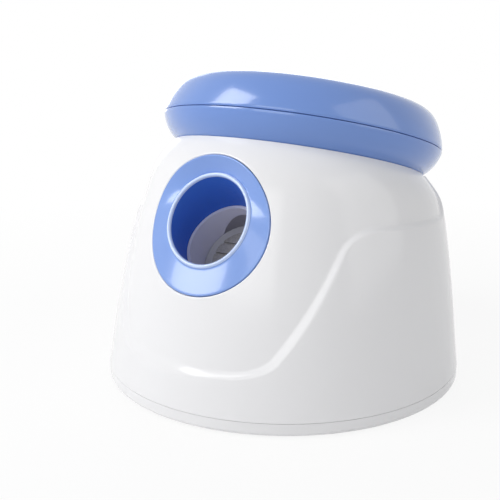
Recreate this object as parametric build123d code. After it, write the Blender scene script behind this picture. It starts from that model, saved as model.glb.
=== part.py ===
from build123d import *
from math import acos, atan2, cos, degrees, pi, radians, sin, sqrt, tan
import os

# Ball launcher for mini tennis balls, in millimetres.
# +Z is up, the ball leaves towards -Y, and the origin is on the floor under the middle of the base.

# ---------------------------------------------------------------- driving dimensions
ball_radius = 25.4           # 2 inch ball

# outer form: a round body that narrows from a level base to a tilted neck under the lid
base_radius = 130.0
neck_radius = 93.5
parting_z = 10.2             # height of the joint between base pan and body shell
neck_z = 156.5               # height of the neck's centre
neck_back = 21.5             # how far the neck's centre lies behind the base's centre
lid_tilt = 15.8              # degrees, launch side high
flank = ((0.0, 0.0), (0.2, 0.109), (0.4, 0.23), (0.6, 0.375), (0.8, 0.55), (0.9, 0.695), (1.0, 1.0))
lean_power = 1.41            # how late the flank starts to lean back
shell_wall = 2.6
seam_gap = 0.3

# side relief: a skin that stands proud below and behind a swept line, the same on both sides
relief_height = 2.2
relief_bends = ((-114.0, 34.8, 20.0), (-57.5, 124.8, 22.0), (60.0, 118.5, 22.0))   # y, z and radius of each

# lid, measured along its own tilted axis from the neck
lid_overhang = 11.0          # how far the lid reaches past the neck
collar_height = 18.8
collar_bulge = 2.0
rim_height = 47.0
rim_top_radius = 83.0
shoulder_inset, shoulder_height = 4.4, 34.0
shoulder_share, shoulder_drop = 0.7, 3.6   # where the shoulder's curve passes, from the crest out and down
side_bulge = 0.7
lip_drop = 4.0               # how far the bowl's lip lies below the crest
crest_fall = 1.0             # how far the roll has fallen halfway from the crest to the lip
bowl_radius = 74.0
lid_wall = 3.0
bowl_wall = 2.5
bowl_floor = 12.0
lid_groove = 0.6
lid_flange = 12.0

# mouth, bezel and launch line
mouth_share = 0.69           # how far up the flank the mouth sits
mouth_sink = 7.5             # how far its centre lies behind the body's front there
mouth_radius = 31.8
mouth_slope = 26.0           # degrees that the mouth's face looks up
launch_angle = 44.0          # degrees above level
bezel_radius = 47.2
bezel_drop = 4.0             # the bezel's circle lies this much below the mouth's
bezel_proud = 0.6
bezel_flange = 4.5
bezel_plate = 2.4
dish_depth = 8.5
sleeve_wall = 2.2
sleeve_length = 36.0
throat_depth = 12.0

# barrel and plunger, by distance along the launch line from the mouth
barrel_clearance = 1.6       # round the ball
barrel_wall = 2.2
barrel_start = 26.0
barrel_end = 140.0
chamber = 73.0
plunger_face = 48.0          # at rest
plunger_stroke = 52.0
plunger_thick = 10.0
plunger_clearance = 0.4
shield_length = 48.0
shield_wall = 2.4
shield_half_angle = 62.0
pad_radius = 20.0
pad_thick = 3.0
arm_width = 8.0
arm_length = 12.0
spring_radius = 12.5
spring_wire = 2.2
spring_turns = 8
seat_at = 134.0
seat_thick = 4.0
post_radius = 9.0
post_length = 20.0

# chute from the lid's bowl to the chamber
chute_lean = 25.0            # degrees back from upright
chute_clearance = 2.6
chute_wall = 2.5

# rack and gears, on +X of the barrel
rack_module = 1.5
sector_teeth = 24            # of a full ring
rack_width = 5.8
rack_depth = 8.0
rack_line = 4.0              # pitch line above the launch line
sector_at = 112.0
pressure_angle = 25.0
addendum = 0.8
dedendum = 1.05
backlash = 0.14
motor_module, wheel_module = 0.8, 1.0
motor_teeth, first_wheel_teeth = 10, 40
pinion_teeth, second_wheel_teeth, output_teeth = 12, 45, 48
first_face, second_face, output_face = 4.0, 5.0, 6.0
gear_gap = 0.8
second_bearing, first_bearing, motor_bearing = 20.0, 60.0, -10.0    # degrees, each from the last
shaft_radius = 2.0
output_shaft_radius = 3.0
shaft_clearance = 0.05
plate_thick = 2.4
plate_gap = 2.4              # between the rack and the inner plate
plate_rim = 8.0
motor_radius = 14.0
motor_length = 38.0
motor_shaft_radius, motor_hole = 1.0, 1.6
motor_screw_depth = 3.0
standoff_radius = 3.0
output_post, second_post, first_post, motor_post = (215.0, 28.5), (-75.0, 30.0), (130.0, 21.0), (-5.0, 12.5)
motor_screw_reach, motor_screw_bearings = 9.5, (-70.0, 60.0)

# base pan, battery bay and feet
pan_floor = 2.5
foot_height = 2.0
foot_proud = 1.2
foot_radius = 8.0
foot_inset = 18.0            # of the feet's centres from the base's edge
foot_angles = (-32.0, 50.0, 130.0, 212.0, 270.0)
pan_edge = 3.0
lip_height = 6.0
lip_thick = 1.6
lip_clearance = 1.2           # from the shell's wall at the parting line, as the wall leans in above it
fit_gap = 0.3
cell_radius, cell_length = 13.1, 50.0
cells_across, cell_rows = 3, 2
cell_gap = 1.4
contact_reach, contact_plate = 2.5, 0.8
nub_radius, nub_length = 3.5, 1.5
bay_wall = 2.0
bay_edge = 5.3               # from the bay's front corners to the base's edge
door_thick = 2.0
door_gap = 0.4
door_pin_inset, door_pin_radius = 2.0, 0.7
saddle_half_width, saddle_thick = 20.0, 5.0
saddle_reaches = (44.4, 90.4)   # how far each stands behind the mouth

# control panel at the back
panel_width, panel_height, panel_z = 72.0, 40.0, 50.0
panel_inset = 11.0           # of the panel's floor from the base's edge
panel_wall = 2.0
panel_gap = 0.2
button_radius, button_proud, button_travel = 7.0, 3.0, 2.0
button_x, rocker_x, jack_x = -14.0, 9.0, 27.0
rocker_width, rocker_height, rocker_angle = 9.0, 14.0, 7.0
lens_radius, lens_pitch = 2.0, 8.0
jack_radius, jack_bore, jack_pin, jack_depth = 5.0, 3.1, 1.0, 10.0
board_thick = 1.6
board_gap = 12.0
switch_height = 3.4
panel_flange = 5.0
rocker_relief, rocker_pin, rocker_rise = 0.4, 1.0, 1.8

# ball switch on the chute's -X side, by height along the chute
switch_rise, switch_half = 64.0, 12.0
switch_pad, switch_pad_width = 1.5, 16.0
lever_width, lever_thick, lever_pin = 5.0, 1.2, 0.8
lever_reach, lever_drop = 7.1, 19.0

# fasteners
screw_radius, screw_head_radius, screw_head = 1.5, 3.0, 2.0
screw_pitch = 7.0             # between the two screws of the rack
boss_radius = 4.5
boss_inset = 11.5             # of the shell bosses from the base's edge
boss_height = 18.0

# ---------------------------------------------------------------- places worked out from them
pan_z = foot_proud                                   # underside of the pan
pan_radius = base_radius + relief_height
foot_circle = base_radius - foot_inset
boss_circle = base_radius - boss_inset
panel_floor_y = base_radius - panel_inset
lid_radius = neck_radius + lid_overhang
shoulder_radius = lid_radius - shoulder_inset
floor_z = pan_z + pan_floor                          # top of the pan's floor
shell_z = parting_z + seam_gap
barrel_inner = ball_radius + barrel_clearance
barrel_outer = barrel_inner + barrel_wall
sleeve_inner = barrel_outer + 0.2
chute_inner = ball_radius + chute_clearance
chute_outer = chute_inner + chute_wall
plunger_radius = barrel_inner - plunger_clearance
sector_pitch = rack_module * sector_teeth / 2
rack_x = barrel_outer + 2.0                          # near side of rack and sector
rack_far_x = rack_x + rack_width
inner_plate_x = rack_far_x + plate_gap
first_x = inner_plate_x + plate_thick + gear_gap
second_x = first_x + first_face + gear_gap
output_x = second_x + second_face + gear_gap
outer_plate_x = output_x + output_face + gear_gap + 1.0



def flank_at(share):
    """The flank's narrowing at this share of the way up, between the listed ones."""
    for (low, low_part), (high, high_part) in zip(flank, flank[1:]):
        if share <= high:
            return low_part + (high_part - low_part) * (share - low) / (high - low)
    return 1.0


mouth_lean = mouth_share**lean_power
mouth_tilt = radians(lid_tilt) * mouth_lean
front_radius = base_radius - (base_radius - neck_radius) * flank_at(mouth_share)
mouth_y = neck_back * mouth_lean - front_radius * cos(mouth_tilt) + mouth_sink
mouth_z = shell_z + (neck_z - shell_z) * mouth_share + front_radius * sin(mouth_tilt)

launch_c, launch_s = cos(radians(launch_angle)), sin(radians(launch_angle))
launch = Plane(origin=(0, mouth_y, mouth_z), x_dir=(1, 0, 0), z_dir=(0, -launch_c, launch_s))
mouth = Plane(
    origin=(0, mouth_y, mouth_z),
    x_dir=(1, 0, 0),
    z_dir=(0, -cos(radians(mouth_slope)), sin(radians(mouth_slope))),
)
lid = Plane(
    origin=(0, neck_back, neck_z),
    x_dir=(1, 0, 0),
    z_dir=(0, sin(radians(lid_tilt)), cos(radians(lid_tilt))),
)


def on_line(depth, rise=0.0):
    """(y, z) of a point this far down the launch line and this far above it."""
    y = mouth_y + depth * launch_c + rise * launch_s
    z = mouth_z - depth * launch_s + rise * launch_c
    return y, z


def beside(point, bearing, distance):
    """The (y, z) point at this bearing and distance from another."""
    angle = radians(bearing)
    return point[0] + distance * cos(angle), point[1] + distance * sin(angle)


chamber_y, chamber_z = on_line(chamber)
chute_dir = (0, sin(radians(chute_lean)), cos(radians(chute_lean)))
chute = Plane(origin=(0, chamber_y, chamber_z), x_dir=(1, 0, 0), z_dir=chute_dir)

output_axis = on_line(sector_at, rack_line + sector_pitch)
second_reach = wheel_module * (output_teeth + pinion_teeth) / 2
first_reach = wheel_module * (second_wheel_teeth + pinion_teeth) / 2
motor_reach = motor_module * (first_wheel_teeth + motor_teeth) / 2
second_axis = beside(output_axis, second_bearing, second_reach)
first_axis = beside(second_axis, first_bearing, first_reach)
motor_axis = beside(first_axis, motor_bearing, motor_reach)

bay_width = cells_across * cell_length + 2 * contact_reach
bay_depth = cell_rows * (2 * cell_radius + cell_gap) + cell_gap
bay_front = sqrt((base_radius - bay_edge) ** 2 - (bay_width / 2 + bay_wall) ** 2)
bay_y = bay_wall + bay_depth / 2 - bay_front
saddle_ys = [mouth_y + reach for reach in saddle_reaches]
bay_height = 2 * cell_radius + 1.0
door_z = pan_z + panel_gap
board_face = panel_floor_y - panel_wall - board_gap
rocker_pivot_y = panel_floor_y - panel_wall - rocker_pin - 0.6
door_axis = (bay_y - bay_depth / 2 + door_gap + door_pin_inset, door_z + door_thick / 2)


# ---------------------------------------------------------------- helpers
def place(plane, shape):
    return plane.location * shape


def down_line(depth, length, radius):
    """A cylinder along the launch line, in the launch frame, from this depth inwards."""
    return Pos(0, 0, -depth - length / 2) * Cylinder(radius, length)


def slab(x0, x1, y0, y1, z0, z1):
    return Pos((x0 + x1) / 2, (y0 + y1) / 2, (z0 + z1) / 2) * Box(x1 - x0, y1 - y0, z1 - z0)


def across(x0, x1, axis, radius):
    """A cylinder along X at a (y, z) axis."""
    body = Rot(0, 90, 0) * Cylinder(radius, x1 - x0)
    return Pos((x0 + x1) / 2, axis[0], axis[1]) * body


def section(share, offset):
    """The body's circle at this share of the way from the parting line to the neck."""
    lean = share**lean_power
    tilt = radians(lid_tilt) * lean
    radius = base_radius - (base_radius - neck_radius) * dict(flank)[share]
    z = shell_z + (neck_z - shell_z) * share
    plane = Plane(origin=(0, neck_back * lean, z), x_dir=(1, 0, 0), z_dir=(0, sin(tilt), cos(tilt)))
    return plane * Circle(radius + offset)


def form(offset):
    """The body's whole form as a solid, grown by this much."""
    return loft([section(share, offset) for share, _ in flank])


def screw(length):
    """A pan-head screw along +Z with its head's underside at the origin."""
    shank = Pos(0, 0, length / 2) * Cylinder(screw_radius, length)
    return Pos(0, 0, -screw_head / 2) * Cylinder(screw_head_radius, screw_head) + shank


def gear_flank(radius, teeth, pitch_radius):
    """Half the angle of a tooth at this radius."""
    base = pitch_radius * cos(radians(pressure_angle))
    at_pitch = pi / (2 * teeth) - backlash / (4 * pitch_radius)
    involute = tan(radians(pressure_angle)) - radians(pressure_angle)
    angle = acos(min(1.0, base / radius))
    return at_pitch + involute - (tan(angle) - angle)


def gear_face(teeth, module, phase, first=0, count=None):
    """The outline of a spur gear, or of one with only some of its teeth."""
    pitch_radius = module * teeth / 2
    tip, root = pitch_radius + addendum * module, pitch_radius - dedendum * module
    count = teeth if count is None else count
    points = []
    for tooth in range(first, first + count):
        middle = phase + 2 * pi * tooth / teeth
        flank_radii = (root, pitch_radius, tip)
        for side, radii in ((-1, flank_radii), (1, flank_radii[::-1])):
            for radius in radii:
                turn = middle + side * gear_flank(radius, teeth, pitch_radius)
                points.append((radius * cos(turn), radius * sin(turn)))
    outline = make_face(Polyline(*points, close=True))
    return outline + Circle(root) if count < teeth else outline


def gear(axis, x0, width, teeth, module, phase, first=0, count=None):
    plane = Plane(origin=(x0, axis[0], axis[1]), x_dir=(0, 1, 0), z_dir=(1, 0, 0))
    return extrude(plane * gear_face(teeth, module, phase, first, count), width)


def meshed(phase, bearing, teeth, other_teeth):
    """The phase of a gear that meshes with one of this phase, at this bearing from it."""
    angle = radians(bearing)
    return angle + pi + (angle - phase) * teeth / other_teeth + pi / other_teeth


# ---------------------------------------------------------------- casing
def side_relief_region():
    bends = [(y, z) for y, z, _ in relief_bends]
    far = base_radius + 20
    path = [(-far, bends[0][1]), *bends, (bends[-1][0], neck_z + 60)]
    line = FilletPolyline(*path, radius=[radius for _, _, radius in relief_bends])
    rest = Polyline(line @ 1, (far, neck_z + 60), (far, -20), (-far, -20), line @ 0)
    return extrude(Plane.YZ * make_face(line + rest), far, both=True)


def bezel_cylinder(radius):
    return place(mouth, Pos(0, -bezel_drop, 0) * Cylinder(radius, 60))


def panel_prism(grow, y0):
    face = Plane.XZ * Pos(0, panel_z) * RectangleRounded(
        panel_width + 2 * grow, panel_height + 2 * grow, 6.0 + grow
    )
    return extrude(face, -(base_radius + 20 - y0)).moved(Location((0, y0, 0)))


def shell_boss_places():
    return [Rot(0, 0, 60 * k) * Pos(boss_circle, 0, 0) for k in range(6)]


def body_shell():
    outer = form(0) + (form(relief_height) & side_relief_region())
    shell = outer - form(-shell_wall)
    flange = Cylinder(neck_radius - 1.0, lid_wall) - Cylinder(neck_radius - lid_flange, lid_wall)
    shell += place(lid, Pos(0, 0, -lid_wall / 2) * flange)
    shell -= bezel_cylinder(bezel_radius + fit_gap)
    shell -= panel_prism(0, 60)
    for spot in shell_boss_places():
        boss = spot * Pos(0, 0, shell_z + boss_height / 2) * Cylinder(boss_radius, boss_height)
        low = parting_z + lip_height + 1.0
        web = spot * slab(0, base_radius - boss_circle, -1.2, 1.2, low, shell_z + boss_height)
        shell += (boss + web) & form(-shell_wall / 2)
        bore = Cylinder(screw_radius + shaft_clearance, boss_height)
        shell -= spot * Pos(0, 0, shell_z + boss_height / 2) * bore
    shell -= bezel_cylinder(bezel_radius + bezel_flange + fit_gap) & form(-shell_wall)
    for spot in lid_screw_places():
        shell -= place(lid, spot * Pos(0, 0, -lid_wall / 2) * Cylinder(screw_radius + fit_gap, lid_wall))
    return shell


def base_pan():
    lip_radius = base_radius - shell_wall - lip_clearance
    profile = Plane.XZ * make_face(Polyline(
        (0, pan_z), (pan_radius, pan_z), (pan_radius, parting_z), (lip_radius, parting_z),
        (lip_radius, parting_z + lip_height), (lip_radius - lip_thick, parting_z + lip_height),
        (lip_radius - lip_thick, floor_z), (0, floor_z), close=True,
    ))
    pan = revolve(profile, Axis.Z)
    pan = fillet(pan.edges().filter_by(GeomType.CIRCLE).group_by(Axis.Z)[0], pan_edge)
    inner_x, inner_y = bay_width / 2, bay_depth / 2
    roof_z = floor_z + bay_height
    box = slab(
        -inner_x - bay_wall, inner_x + bay_wall,
        bay_y - inner_y - bay_wall, bay_y + inner_y + bay_wall,
        pan_z, roof_z + bay_wall,
    )
    pan += (box & form(-shell_wall - fit_gap)) + (box & Pos(0, 0, floor_z) * Box(400, 400, 2 * lip_height + 8))
    pan -= slab(-inner_x, inner_x, bay_y - inner_y, bay_y + inner_y, pan_z - 1, roof_z)
    pin_reach = inner_x + 0.8 * bay_wall
    pan -= across(-pin_reach, pin_reach, door_axis, door_pin_radius + shaft_clearance)
    barrel_space = place(launch, down_line(0, barrel_end + 60, barrel_outer))
    for saddle_y in saddle_ys:
        bottom = roof_z if saddle_y < bay_y + inner_y else floor_z
        middle_z = mouth_z - (saddle_y - mouth_y) * tan(radians(launch_angle))
        rib = slab(
            -saddle_half_width, saddle_half_width,
            saddle_y - saddle_thick / 2, saddle_y + saddle_thick / 2,
            bottom, middle_z - barrel_inner / 2,
        )
        pan += rib - barrel_space
    for spot in shell_boss_places():
        pan -= spot * Pos(0, 0, (pan_z + floor_z) / 2) * Cylinder(screw_radius + fit_gap, pan_floor)
        pan += spot * Pos(0, 0, (floor_z + shell_z - seam_gap) / 2) * (
            Cylinder(boss_radius, shell_z - seam_gap - floor_z)
            - Cylinder(screw_radius + fit_gap, shell_z - seam_gap - floor_z)
        )
        head_space = Cylinder(screw_head_radius + fit_gap, screw_head + panel_gap)
        pan -= spot * Pos(0, 0, pan_z + (screw_head + panel_gap) / 2) * head_space
    for spot in foot_places():
        pan -= spot * Pos(0, 0, pan_z + (foot_height - foot_proud) / 2) * Cylinder(
            foot_radius + panel_gap, foot_height - foot_proud
        )
    return pan


def foot_places():
    return [Rot(0, 0, angle) * Pos(foot_circle, 0, 0) for angle in foot_angles]


def rubber_feet():
    foot = Pos(0, 0, foot_height / 2) * Cylinder(foot_radius, foot_height)
    foot = chamfer(foot.edges().group_by(Axis.Z)[0], 0.5)
    return [spot * foot for spot in foot_places()]


def lid_screw_places():
    return [Rot(0, 0, 60 * k) * Pos(neck_radius - lid_flange / 2 - 1.5, 0, 0) for k in range(6)]


def lid_collar():
    bulge_radius, bulge_height = (neck_radius + lid_radius) / 2 + collar_bulge, collar_height * 0.42
    outer = ThreePointArc((neck_radius, 0), (bulge_radius, bulge_height), (lid_radius, collar_height))
    inner = ThreePointArc(
        (lid_radius - lid_wall, collar_height),
        (bulge_radius - lid_wall, bulge_height + 1.0),
        (neck_radius - lid_wall, lid_wall),
    )
    low = Polyline(inner @ 1, (neck_radius - lid_flange, lid_wall), (neck_radius - lid_flange, 0), outer @ 0)
    profile = Plane.XZ * make_face(outer + Line(outer @ 1, inner @ 0) + inner + low)
    collar = revolve(profile, Axis.Z)
    for spot in lid_screw_places():
        boss = spot * Pos(0, 0, lid_wall + 3) * Cylinder(boss_radius - 1.0, 6)
        collar += boss
        collar -= spot * Pos(0, 0, lid_wall + 1.5) * Cylinder(screw_radius + shaft_clearance, 2 * lid_wall + 3)
    return place(lid, collar)


def bowl_solid(grow, floor):
    """The bowl's space, grown by a wall, from the rim down to its floor, in the lid's frame."""
    low_y = lid.to_local_coords(Vector(*chute_at_height(bowl_floor))).Y
    top = Pos(0, 0, rim_height - lip_drop) * Circle(bowl_radius + grow)
    low = Pos(0, low_y, floor) * Circle(chute_inner + 2.5 + grow)
    return loft([low, top])


def chute_at_height(rise):
    """The point of the chute's middle line at this height above the lid's plane."""
    start = lid.to_local_coords(chute.origin).Z
    slope = chute.z_dir.dot(lid.z_dir)
    return chute.origin + chute.z_dir * ((rise - start) / slope)


def lid_funnel():
    base, lip_low = collar_height + lid_groove, rim_height - lip_drop
    foot, shoulder = (lid_radius, base), (shoulder_radius, shoulder_height)
    crest, lip = (rim_top_radius, rim_height), (bowl_radius, lip_low)
    side = ((lid_radius + shoulder_radius) / 2 + side_bulge, (base + shoulder_height) / 2)
    corner_radius = rim_top_radius + shoulder_share * (shoulder_radius - rim_top_radius)
    corner = (corner_radius, rim_height - shoulder_drop)
    roll = ((rim_top_radius + bowl_radius) / 2, rim_height - crest_fall)
    outer = ThreePointArc(foot, side, shoulder)
    outer += ThreePointArc(shoulder, corner, crest)
    outer += ThreePointArc(crest, roll, lip)
    inner = Polyline(
        lip,
        (bowl_radius - 1.0, lip_low - 3.5),
        (bowl_radius + 3.0, lip_low - 3.0),
        (rim_top_radius - 1.0, rim_height - lid_wall),
        (corner[0] - 2.5, corner[1] - 2.0),
        (shoulder_radius - lid_wall, shoulder_height - 1.0),
        (lid_radius - lid_wall, base),
        foot,
    )
    rim = revolve(Plane.XZ * make_face(outer + inner), Axis.Z)
    tongue = Cylinder(lid_radius - lid_wall - fit_gap, 6.0) - Cylinder(lid_radius - 2 * lid_wall, 6.0)
    bowl = bowl_solid(bowl_wall, bowl_floor - bowl_wall) - bowl_solid(0, bowl_floor)
    funnel = rim + bowl + Pos(0, 0, base) * tongue
    return place(lid, funnel) - place(chute, Pos(0, 0, 100) * Cylinder(chute_inner, 240))


def dish_region(depth):
    """What lies in front of the dished face, moved inwards by this much, in the mouth's frame."""
    far = 60.0
    slope = dish_depth / (bezel_radius - mouth_radius)
    edge = dish_depth + slope * (far - bezel_radius)
    outline = Polyline(
        (0, far), (0, -depth), (mouth_radius, -depth), (far, edge - depth), (far, far), close=True
    )
    return place(mouth, revolve(Plane.XZ * make_face(outline), Axis.Z))


def throat(grow):
    return loft([
        mouth * Circle(mouth_radius + grow), launch * Pos(0, 0, -throat_depth) * Circle(sleeve_inner + grow)
    ])


def nozzle_bezel():
    back = form(-shell_wall - bezel_plate)
    bezel = form(bezel_proud) & bezel_cylinder(bezel_radius)
    bezel -= back - dish_region(bezel_plate)
    bezel += (form(-shell_wall) - back) & bezel_cylinder(bezel_radius + bezel_flange)
    sleeve = place(launch, down_line(-14, sleeve_length + 14, sleeve_inner + sleeve_wall))
    bezel += (sleeve + throat(sleeve_wall)) & form(-shell_wall / 2)
    bezel -= dish_region(0) + throat(0)
    bezel -= place(launch, down_line(throat_depth - 0.1, sleeve_length, sleeve_inner))
    return bezel


# ---------------------------------------------------------------- barrel, chute and plunger
def chute_space(radius):
    return place(chute, Pos(0, 0, 110) * Cylinder(radius, 220))


def launch_barrel():
    length = barrel_end - barrel_start
    tube = down_line(barrel_start, length, barrel_outer) - down_line(barrel_start, length, barrel_inner)
    slot_start = plunger_face + plunger_thick - 3.0
    slot = slab(
        barrel_inner - 8, barrel_outer + 5, -arm_width / 2 - 0.5, arm_width / 2 + 0.5,
        -slot_start - arm_length - plunger_stroke - 4.0, -slot_start,
    )
    return place(launch, tube - slot) - chute_space(chute_inner)


def drop_chute():
    tube = chute_space(chute_outer) - chute_space(chute_inner)
    keep = place(launch, slab(-60, 60, arm_width / 2 + 1.5, 260, -260, 60))
    tube &= keep
    tube -= place(launch, down_line(-20, barrel_end + 60, barrel_outer))
    tube -= place(launch, down_line(-20, sleeve_length + 20 + fit_gap, sleeve_inner + sleeve_wall + fit_gap))
    tube += switch_pad_solid()
    tube -= switch_slot()
    tube -= place(lid, bowl_solid(bowl_wall, bowl_floor - bowl_wall))
    above = place(lid, Pos(0, 0, bowl_floor + 40) * Box(300, 300, 80))
    return (tube - above).solids().sort_by(SortBy.VOLUME)[-1]


def plunger_head():
    disc = down_line(plunger_face, plunger_thick, plunger_radius)
    disc -= down_line(plunger_face, pad_thick / 2, pad_radius + panel_gap)
    shield = down_line(plunger_face, plunger_thick + shield_length, plunger_radius)
    shield -= down_line(plunger_face, plunger_thick + shield_length, plunger_radius - shield_wall)
    reach = 2 * plunger_radius
    half = radians(shield_half_angle)
    wedge = make_face(Polyline(
        (0, 0), (-reach * sin(half), reach * cos(half)), (0, 2 * reach),
        (reach * sin(half), reach * cos(half)), close=True,
    ))
    sector_start = -(plunger_face + plunger_thick + shield_length)
    shield &= Pos(0, 0, sector_start) * extrude(wedge, plunger_thick + shield_length)
    cup_depth = plunger_face + plunger_thick
    cup = down_line(cup_depth - 1, 9, spring_radius + 3.5) - down_line(cup_depth - 1, 9, spring_radius + 0.9)
    arm = slab(
        plunger_radius / 2, rack_x, -arm_width / 2, arm_width / 2, -cup_depth - arm_length, -cup_depth + 2.0
    )
    arm -= down_line(cup_depth, arm_length + 2, spring_radius + 0.9)
    head = place(launch, disc + shield + cup + arm)
    for spot in rack_screw_places():
        head -= spot * Pos(0, 0, rack_width + arm_length / 4) * Cylinder(screw_radius, arm_length / 2)
    return head


def plunger_pad():
    pad = down_line(plunger_face - pad_thick / 2, pad_thick, pad_radius)
    for k in (-1, 0, 1):
        low, high = 9.0 * k - 1.0, 9.0 * k + 1.0
        pad -= slab(-pad_radius, pad_radius, low, high, -plunger_face, -plunger_face + pad_thick)
    return place(launch, pad)


def rack_teeth_start():
    return sector_at - plunger_stroke - 1.5 * pi * rack_module


def rack_bar():
    """A straight rack whose gap meets the sector's first tooth at rest."""
    pitch = pi * rack_module
    half = pitch / 4 - backlash / 4
    slope = tan(radians(pressure_angle))
    root, tip = rack_line - dedendum * rack_module, rack_line + addendum * rack_module
    low = rack_line - rack_depth
    end = sector_at + 2 * pitch
    points = [(end, low), (plunger_face + 4.0, low), (plunger_face + 4.0, root)]
    count = int((sector_at - rack_teeth_start()) / pitch) + 1
    for k in range(-count, 1):
        middle = sector_at + (k + 0.5) * pitch
        for sign, rise in ((-1, root), (-1, tip), (1, tip), (1, root)):
            points.append((middle + sign * (half - (rise - rack_line) * slope), rise))
    points.append((end, root))
    flat = make_face(Polyline(*[(depth, rise) for depth, rise in points], close=True))
    side = Plane(
        origin=(rack_x, mouth_y, mouth_z), x_dir=(0, launch_c, -launch_s), z_dir=(1, 0, 0)
    )
    bar = extrude(side * flat, rack_width)
    for spot in rack_screw_places():
        bar -= spot * Cylinder(screw_radius + shaft_clearance, 3 * rack_width)
    return bar


def rack_screw_places():
    middle = plunger_face + plunger_thick + arm_length / 2 - 1.0
    return [
        launch.location * Pos(rack_far_x, -1.0, -middle - step) * Rot(0, -90, 0)
        for step in (-screw_pitch / 2, screw_pitch / 2)
    ]


def main_spring():
    length = seat_at - plunger_face - plunger_thick - spring_wire
    middle = spring_radius - spring_wire / 2
    path = Helix(pitch=length / spring_turns, height=length, radius=middle)
    tangent = path % 0
    wire = Plane(origin=path @ 0, z_dir=tangent) * RegularPolygon(spring_wire / 2, 6)
    coil = sweep(wire, path=path, is_frenet=True)
    return place(launch, Pos(0, 0, -seat_at + spring_wire / 2 + 0.05) * coil)


def spring_seat():
    disc = down_line(seat_at, barrel_end - seat_at, barrel_inner - 0.1)
    disc += down_line(barrel_end, seat_thick, barrel_outer)
    disc += down_line(seat_at - post_length, post_length, post_radius)
    ring = down_line(seat_at - 1, 40, barrel_outer + 5) - down_line(
        seat_at - 1, 40, plunger_radius - shield_wall - 0.6
    )
    reach, half = 3 * plunger_radius, radians(shield_half_angle + 4)
    wedge = make_face(Polyline(
        (0, 0), (-reach * sin(half), reach * cos(half)), (0, 2 * reach),
        (reach * sin(half), reach * cos(half)), close=True,
    ))
    ring &= Pos(0, 0, -seat_at - 40) * extrude(wedge, 60)
    return place(launch, disc - ring)


# ---------------------------------------------------------------- gears, plates and motor
rack_bearing = degrees(atan2(-launch_c, -launch_s))
output_phase = radians(7.0)
second_phase = meshed(output_phase, second_bearing, output_teeth, pinion_teeth)
first_phase = meshed(second_phase, first_bearing, second_wheel_teeth, pinion_teeth)
motor_phase = meshed(first_phase, motor_bearing, first_wheel_teeth, motor_teeth)


def sector_gear():
    swept = int(degrees(plunger_stroke / sector_pitch) / (360 / sector_teeth)) + 1
    body = gear(
        output_axis, rack_x, rack_width, sector_teeth, rack_module, radians(rack_bearing), -swept, swept + 1
    )
    body += across(rack_far_x - 0.5, inner_plate_x - 0.4, output_axis, 7.0)
    return body - across(rack_x - 1, inner_plate_x, output_axis, output_shaft_radius)


def output_gear():
    wheel = gear(output_axis, output_x, output_face, output_teeth, wheel_module, output_phase)
    return wheel - across(output_x - 1, output_x + output_face + 1, output_axis, output_shaft_radius)


def output_shaft():
    return across(rack_x, outer_plate_x + plate_thick + 1.0, output_axis, output_shaft_radius)


def compound_gear(axis, wheel_x, wheel_face, wheel_teeth, module, pinion_end, phase):
    wheel = gear(axis, wheel_x, wheel_face, wheel_teeth, module, phase)
    pinion_start = wheel_x + wheel_face - 0.5
    pinion = gear(axis, pinion_start, pinion_end - pinion_start, pinion_teeth, wheel_module, phase)
    bore = across(wheel_x - 1, pinion_end + 1, axis, shaft_radius + shaft_clearance)
    return wheel + pinion - bore


def second_gear():
    return compound_gear(
        second_axis, second_x, second_face, second_wheel_teeth, wheel_module, output_x + output_face, second_phase
    )


def first_gear():
    return compound_gear(
        first_axis, first_x, first_face, first_wheel_teeth, motor_module, second_x + second_face, first_phase
    )


def gear_pins():
    start, end = inner_plate_x, outer_plate_x + plate_thick + 1.0
    return [across(start, end, axis, shaft_radius) for axis in (second_axis, first_axis)]


def shaft_collars():
    """Loose sleeves that keep the two compound gears at their places along their pins."""
    bore, outer = shaft_radius + shaft_clearance, shaft_radius + 1.5
    spans = (
        (second_axis, inner_plate_x + plate_thick, second_x - 0.3),
        (second_axis, output_x + output_face + 0.3, outer_plate_x),
        (first_axis, second_x + second_face + 0.3, outer_plate_x),
    )
    return [across(a, b, axis, outer) - across(a, b, axis, bore) for axis, a, b in spans]


def motor_pinion():
    wheel = gear(motor_axis, first_x, first_face, motor_teeth, motor_module, motor_phase)
    return wheel - across(first_x - 1, first_x + first_face + 1, motor_axis, motor_shaft_radius)


def motor_shaft():
    return across(inner_plate_x - 5.0, first_x + first_face + 1.5, motor_axis, motor_shaft_radius)


def motor():
    can = across(inner_plate_x - motor_length, inner_plate_x, motor_axis, motor_radius)
    can = fillet(can.edges().group_by(Axis.X)[0], 2.0)
    can += across(inner_plate_x - motor_length - 2.5, inner_plate_x - motor_length + 1, motor_axis, 5.0)
    for axis in motor_screw_axes():
        can -= across(inner_plate_x - motor_screw_depth, inner_plate_x + 1, axis, screw_radius)
    bore = motor_shaft_radius + shaft_clearance
    return can - across(inner_plate_x - 5.5, inner_plate_x + 1, motor_axis, bore)


def plate_outline():
    """The (y, z) outline round all four axes and the standoffs, with a leg down to the pan's floor."""
    spots = [(output_axis, 14.0), (second_axis, plate_rim), (first_axis, plate_rim)]
    spots.append((motor_axis, motor_radius + 2))
    spots += [(axis, standoff_radius + 2.5) for axis in standoff_places()]
    with BuildSketch() as outline:
        with BuildLine():
            for spot, radius in spots:
                CenterArc(spot, radius, 0, 360)
        make_hull()
        y, z = output_axis
        with Locations(((y + second_axis[0]) / 2, (z + floor_z) / 2)):
            Rectangle(second_axis[0] - y + 20, z - floor_z)
    return outline.sketch


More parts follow.
